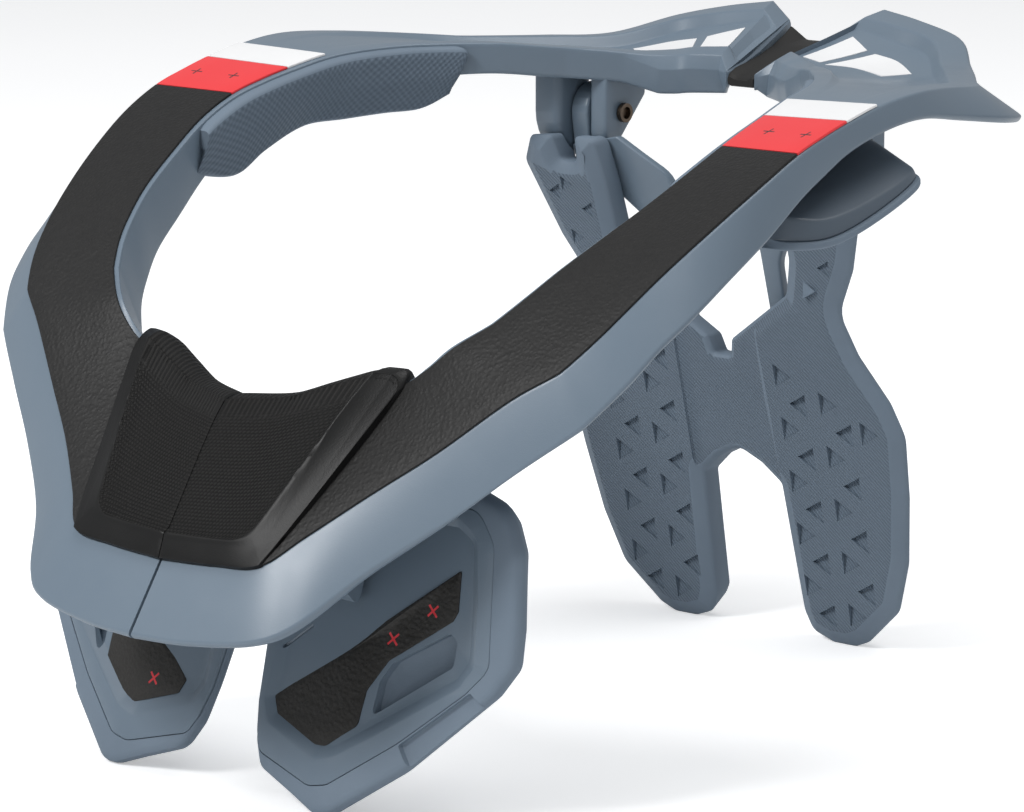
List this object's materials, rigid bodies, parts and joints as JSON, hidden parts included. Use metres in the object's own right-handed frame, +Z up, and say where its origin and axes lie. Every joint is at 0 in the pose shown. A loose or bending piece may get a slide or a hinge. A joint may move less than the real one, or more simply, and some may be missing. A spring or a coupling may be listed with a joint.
{
  "type": "motocross neck brace",
  "caption": "Rigid off-road neck brace: a split collar round an open neck, chin pad, shoulder pads, chest feet, and an H-shaped back pad on a hinge.",
  "frame": {"origin": "centre of the bounding box at the ground the brace stands on", "axes": "+X to the rider's left across the mirror plane, +Y to the rider's back, +Z up"},
  "size_m": [0.256, 0.3061, 0.195],
  "materials": {
    "moulded": "satin blue-grey moulding",
    "foam": "matt blue-grey moulded foam",
    "grained_skin": "black leather-grained skin",
    "woven_pad": "black weave with a smooth rim",
    "red_skin": "satin red skin",
    "white_skin": "satin white skin",
    "rubber": "matt black",
    "metal": "plain zinc-brown"
  },
  "bodies": {
    "collar": {"collar_half_left": "moulded", "collar_half_right": "moulded", "side_panel_left": "grained_skin", "side_panel_right": "grained_skin", "red_band_left": "red_skin", "red_band_right": "red_skin", "white_band_left": "white_skin", "white_band_right": "white_skin", "chin_pad_left": "woven_pad", "chin_pad_right": "woven_pad", "shoulder_foam_left": "foam", "shoulder_foam_right": "foam", "shoulder_shell_left": "moulded", "shoulder_shell_right": "moulded", "chest_bracket_left": "moulded", "chest_bracket_right": "moulded", "chest_shell_left": "moulded", "chest_shell_right": "moulded", "chest_foam_left": "foam", "chest_foam_right": "foam", "chest_sticker_left": "grained_skin", "chest_sticker_right": "grained_skin", "pivot_screw_left": "metal", "pivot_screw_right": "metal", "rear_bridge": "rubber"},
    "back_unit": {"rear_strut_left": "moulded", "rear_strut_right": "moulded", "back_pad": "foam"}
  },
  "joints": [
    {"name": "back_unit_tilt", "type": "hinge", "parent": "collar", "child": "back_unit", "pos_m": [0, 0.0975, 0.163], "axis": [1, 0, 0], "range_deg": [-5, 20]}
  ]
}
